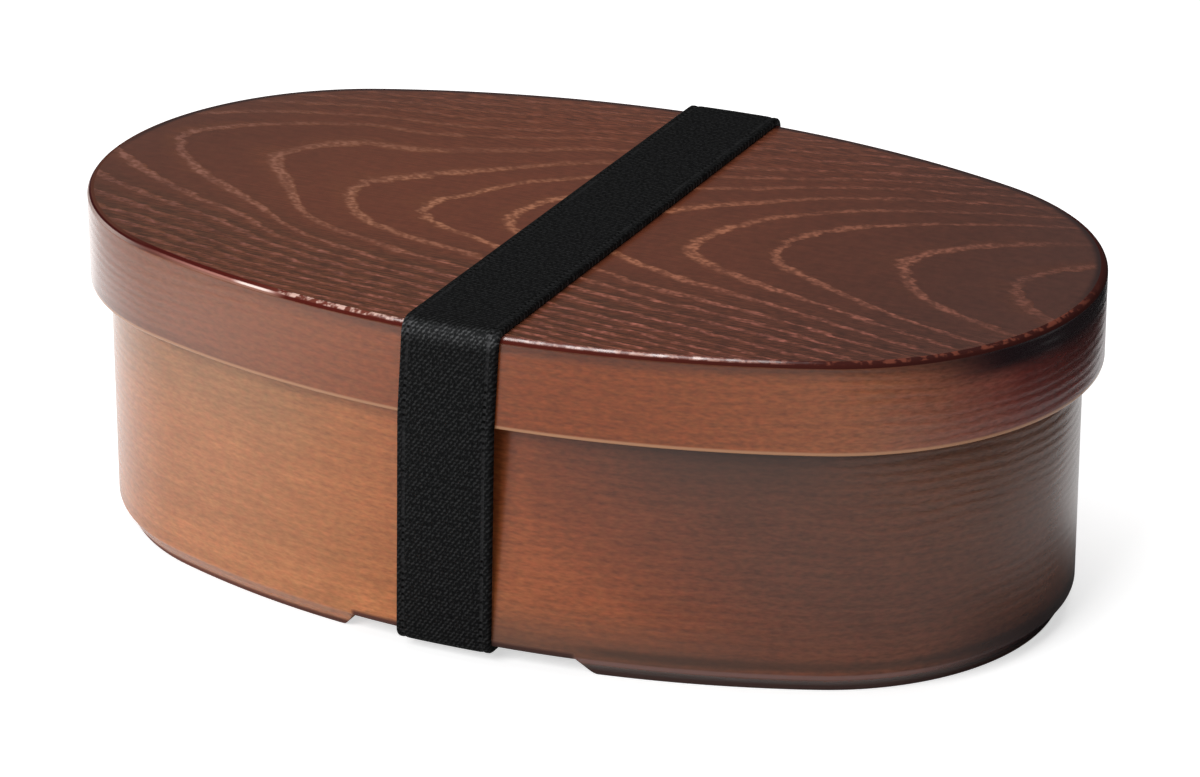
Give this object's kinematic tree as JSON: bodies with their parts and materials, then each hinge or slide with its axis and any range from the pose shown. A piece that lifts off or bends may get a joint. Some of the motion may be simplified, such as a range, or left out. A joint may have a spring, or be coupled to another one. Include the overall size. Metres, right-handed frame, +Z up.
{
  "type": "bento lunch box",
  "caption": "Oval one-tier lunch box in wood-grain lacquer with a lift-off lid, sealed inner lid, loose divider and an elastic band that holds it shut.",
  "frame": {"origin": "on the table under the middle of the closed box", "axes": "+X along the length, +Y to the back long side, +Z up"},
  "size_m": [0.18, 0.1132, 0.0615],
  "materials": {
    "container_lacquer": "reddish brown wood-grain lacquer on moulded resin, satin gloss",
    "lid_lacquer": "reddish brown wood-grain lacquer on moulded resin, satin gloss",
    "inner_lid_plastic": "frosted translucent polypropylene",
    "seal_silicone": "milky silicone",
    "divider_plastic": "dark brown moulded plastic, fine grained",
    "band_elastic": "black woven elastic with a slight sheen",
    "band_thread": "black polyester thread"
  },
  "bodies": {
    "container": {"container": "container_lacquer"},
    "divider": {"divider": "divider_plastic"},
    "inner_lid": {"inner_lid": "inner_lid_plastic", "inner_lid_seal": "seal_silicone"},
    "vent_plug": {"vent_plug": "seal_silicone"},
    "lid": {"lid": "lid_lacquer"},
    "band": {"elastic_band": "band_elastic", "band_stitching": "band_thread"}
  },
  "joints": [
    {"name": "divider_lift", "type": "slide", "parent": "container", "child": "divider", "axis": [0, 0, 1], "range_m": [0, 0.075]},
    {"name": "inner_lid_lift", "type": "slide", "parent": "divider", "child": "inner_lid", "axis": [0, 0, 1], "range_m": [0, 0.075]},
    {"name": "vent_pull", "type": "slide", "parent": "inner_lid", "child": "vent_plug", "axis": [0, 0, 1], "range_m": [0, 0.002]},
    {"name": "lid_lift", "type": "slide", "parent": "inner_lid", "child": "lid", "axis": [0, 0, 1], "range_m": [0, 0.075]},
    {"name": "band_off", "type": "slide", "parent": "lid", "child": "band", "axis": [1, 0, 0], "range_m": [0, 0.115], "deforming": ["elastic_band", "band_stitching"]}
  ]
}
